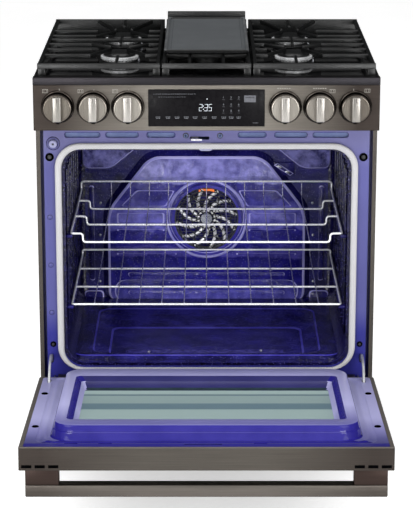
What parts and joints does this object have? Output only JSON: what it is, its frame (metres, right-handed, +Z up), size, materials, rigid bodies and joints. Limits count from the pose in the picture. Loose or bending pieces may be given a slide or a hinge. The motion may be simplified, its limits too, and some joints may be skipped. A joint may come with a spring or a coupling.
{
  "type": "freestanding gas range",
  "caption": "Freestanding gas range with drop-down oven door, wire racks, convection fan, cast grates with a griddle, front knobs and a lower drawer.",
  "frame": {"origin": "on the floor, below the middle of the range's box with the oven door open", "axes": "+Z up from the floor, the oven door faces -Y, +X to the right as seen from the front"},
  "size_m": [0.756, 1.2492, 0.972],
  "materials": {
    "enamel_blue": "glossy vitreous enamel",
    "black_stainless": "fingerprint-proof brushed",
    "zinc_sheet": "galvanised sheet",
    "cast_iron": "matt porcelain-coated",
    "griddle_iron": "seasoned satin",
    "black_enamel": "glossy vitreous enamel",
    "burner_aluminium": "machined satin",
    "knob_metal": "satin champagne plated",
    "black_glass": "polished",
    "clear_glass": "polished",
    "chrome_wire": "bright chrome plated",
    "gasket_fibre": "woven fibre-glass",
    "black_plastic": "moulded",
    "pale_plastic": "moulded"
  },
  "bodies": {
    "body": {"base_pan": "zinc_sheet", "front_left_foot": "black_plastic", "rear_left_foot": "black_plastic", "front_right_foot": "black_plastic", "rear_right_foot": "black_plastic", "left_side_panel": "black_stainless", "right_side_panel": "black_stainless", "back_panel": "zinc_sheet", "front_frame": "enamel_blue", "oven_cavity": "enamel_blue", "door_gasket": "gasket_fibre", "oven_lamp": "clear_glass", "broil_burner": "zinc_sheet", "fan_cover": "black_enamel", "fan_motor": "zinc_sheet", "convection_element": "chrome_wire", "control_panel": "black_stainless", "display_glass": "black_glass", "gas_manifold": "zinc_sheet", "cooktop_pan": "black_enamel", "cooktop_front_trim": "black_stainless", "left_front_burner_base": "burner_aluminium", "left_front_burner_cap": "cast_iron", "left_rear_burner_base": "burner_aluminium", "left_rear_burner_cap": "cast_iron", "right_front_burner_base": "burner_aluminium", "right_front_burner_cap": "cast_iron", "right_rear_burner_base": "burner_aluminium", "right_rear_burner_cap": "cast_iron", "centre_burner": "cast_iron", "lower_trim": "black_stainless"},
    "door": {"door_skin": "black_stainless", "door_inner_panel": "enamel_blue", "door_glass": "clear_glass", "door_handle": "black_stainless", "left_hinge_arm": "zinc_sheet", "right_hinge_arm": "zinc_sheet"},
    "drawer": {"drawer_box": "zinc_sheet", "drawer_front": "black_stainless"},
    "upper_rack_body": {"upper_rack": "chrome_wire"},
    "lower_rack_body": {"lower_rack": "chrome_wire"},
    "left_grate_body": {"left_grate": "cast_iron"},
    "right_grate_body": {"right_grate": "cast_iron"},
    "centre_grate_body": {"centre_grate": "cast_iron"},
    "griddle_body": {"griddle": "griddle_iron"},
    "fan_blade_body": {"fan_blade": "zinc_sheet"},
    "light_switch_button_body": {"light_switch_button": "pale_plastic"},
    "door_latch_body": {"door_latch": "chrome_wire"},
    "left_front_stem_body": {"left_front_valve_stem": "zinc_sheet"},
    "left_front_knob_body": {"left_front_knob": "knob_metal"},
    "left_rear_stem_body": {"left_rear_valve_stem": "zinc_sheet"},
    "left_rear_knob_body": {"left_rear_knob": "knob_metal"},
    "middle_stem_body": {"middle_valve_stem": "zinc_sheet"},
    "middle_knob_body": {"middle_knob": "knob_metal"},
    "oven_stem_body": {"oven_valve_stem": "zinc_sheet"},
    "oven_knob_body": {"oven_knob": "knob_metal"},
    "right_front_stem_body": {"right_front_valve_stem": "zinc_sheet"},
    "right_front_knob_body": {"right_front_knob": "knob_metal"},
    "right_rear_stem_body": {"right_rear_valve_stem": "zinc_sheet"},
    "right_rear_knob_body": {"right_rear_knob": "knob_metal"}
  },
  "joints": [
    {"name": "door_hinge", "type": "hinge", "parent": "body", "child": "door", "pos_m": [0, -0.03638, 0.204], "axis": [1, 0, 0], "range_deg": [-86, 0]},
    {"name": "drawer_slide", "type": "slide", "parent": "body", "child": "drawer", "axis": [0, -1, 0], "range_m": [0, 0.4]},
    {"name": "upper_rack_slide", "type": "slide", "parent": "body", "child": "upper_rack_body", "axis": [0, -1, 0], "range_m": [0, 0.35]},
    {"name": "lower_rack_slide", "type": "slide", "parent": "body", "child": "lower_rack_body", "axis": [0, -1, 0], "range_m": [0, 0.35]},
    {"name": "left_front_valve_turn", "type": "hinge", "parent": "body", "child": "left_front_stem_body", "pos_m": [-0.3245, -0.04038, 0.85], "axis": [0, -1, 0], "range_deg": [0, 240]},
    {"name": "left_front_knob_push", "type": "slide", "parent": "left_front_stem_body", "child": "left_front_knob_body", "axis": [0, 1, 0], "range_m": [0, 0.003], "stiffness_N_per_m": 800},
    {"name": "left_rear_valve_turn", "type": "hinge", "parent": "body", "child": "left_rear_stem_body", "pos_m": [-0.247, -0.04038, 0.85], "axis": [0, -1, 0], "range_deg": [0, 240]},
    {"name": "left_rear_knob_push", "type": "slide", "parent": "left_rear_stem_body", "child": "left_rear_knob_body", "axis": [0, 1, 0], "range_m": [0, 0.003], "stiffness_N_per_m": 800},
    {"name": "middle_valve_turn", "type": "hinge", "parent": "body", "child": "middle_stem_body", "pos_m": [-0.1715, -0.04038, 0.85], "axis": [0, -1, 0], "range_deg": [0, 240]},
    {"name": "middle_knob_push", "type": "slide", "parent": "middle_stem_body", "child": "middle_knob_body", "axis": [0, 1, 0], "range_m": [0, 0.003], "stiffness_N_per_m": 800},
    {"name": "oven_valve_turn", "type": "hinge", "parent": "body", "child": "oven_stem_body", "pos_m": [0.1715, -0.04038, 0.85], "axis": [0, -1, 0], "range_deg": [0, 300]},
    {"name": "oven_knob_push", "type": "slide", "parent": "oven_stem_body", "child": "oven_knob_body", "axis": [0, 1, 0], "range_m": [0, 0.003], "stiffness_N_per_m": 800},
    {"name": "right_front_valve_turn", "type": "hinge", "parent": "body", "child": "right_front_stem_body", "pos_m": [0.247, -0.04038, 0.85], "axis": [0, -1, 0], "range_deg": [0, 240]},
    {"name": "right_front_knob_push", "type": "slide", "parent": "right_front_stem_body", "child": "right_front_knob_body", "axis": [0, 1, 0], "range_m": [0, 0.003], "stiffness_N_per_m": 800},
    {"name": "right_rear_valve_turn", "type": "hinge", "parent": "body", "child": "right_rear_stem_body", "pos_m": [0.3245, -0.04038, 0.85], "axis": [0, -1, 0], "range_deg": [0, 240]},
    {"name": "right_rear_knob_push", "type": "slide", "parent": "right_rear_stem_body", "child": "right_rear_knob_body", "axis": [0, 1, 0], "range_m": [0, 0.003], "stiffness_N_per_m": 800},
    {"name": "fan_spin", "type": "hinge", "parent": "body", "child": "fan_blade_body", "pos_m": [0, 0.47462, 0.466], "axis": [0, 1, 0], "continuous": true},
    {"name": "left_grate_lift", "type": "slide", "parent": "body", "child": "left_grate_body", "axis": [0, 0, 1], "range_m": [0, 0.06]},
    {"name": "centre_grate_lift", "type": "slide", "parent": "body", "child": "centre_grate_body", "axis": [0, 0, 1], "range_m": [0, 0.06]},
    {"name": "right_grate_lift", "type": "slide", "parent": "body", "child": "right_grate_body", "axis": [0, 0, 1], "range_m": [0, 0.06]},
    {"name": "griddle_lift", "type": "slide", "parent": "centre_grate_body", "child": "griddle_body", "axis": [0, 0, 1], "range_m": [0, 0.06]},
    {"name": "light_switch_push", "type": "slide", "parent": "body", "child": "light_switch_button_body", "axis": [0, 1, 0], "range_m": [0, 0.01], "stiffness_N_per_m": 150},
    {"name": "door_latch_slide", "type": "slide", "parent": "body", "child": "door_latch_body", "axis": [1, 0, 0], "range_m": [0, 0.022]}
  ]
}
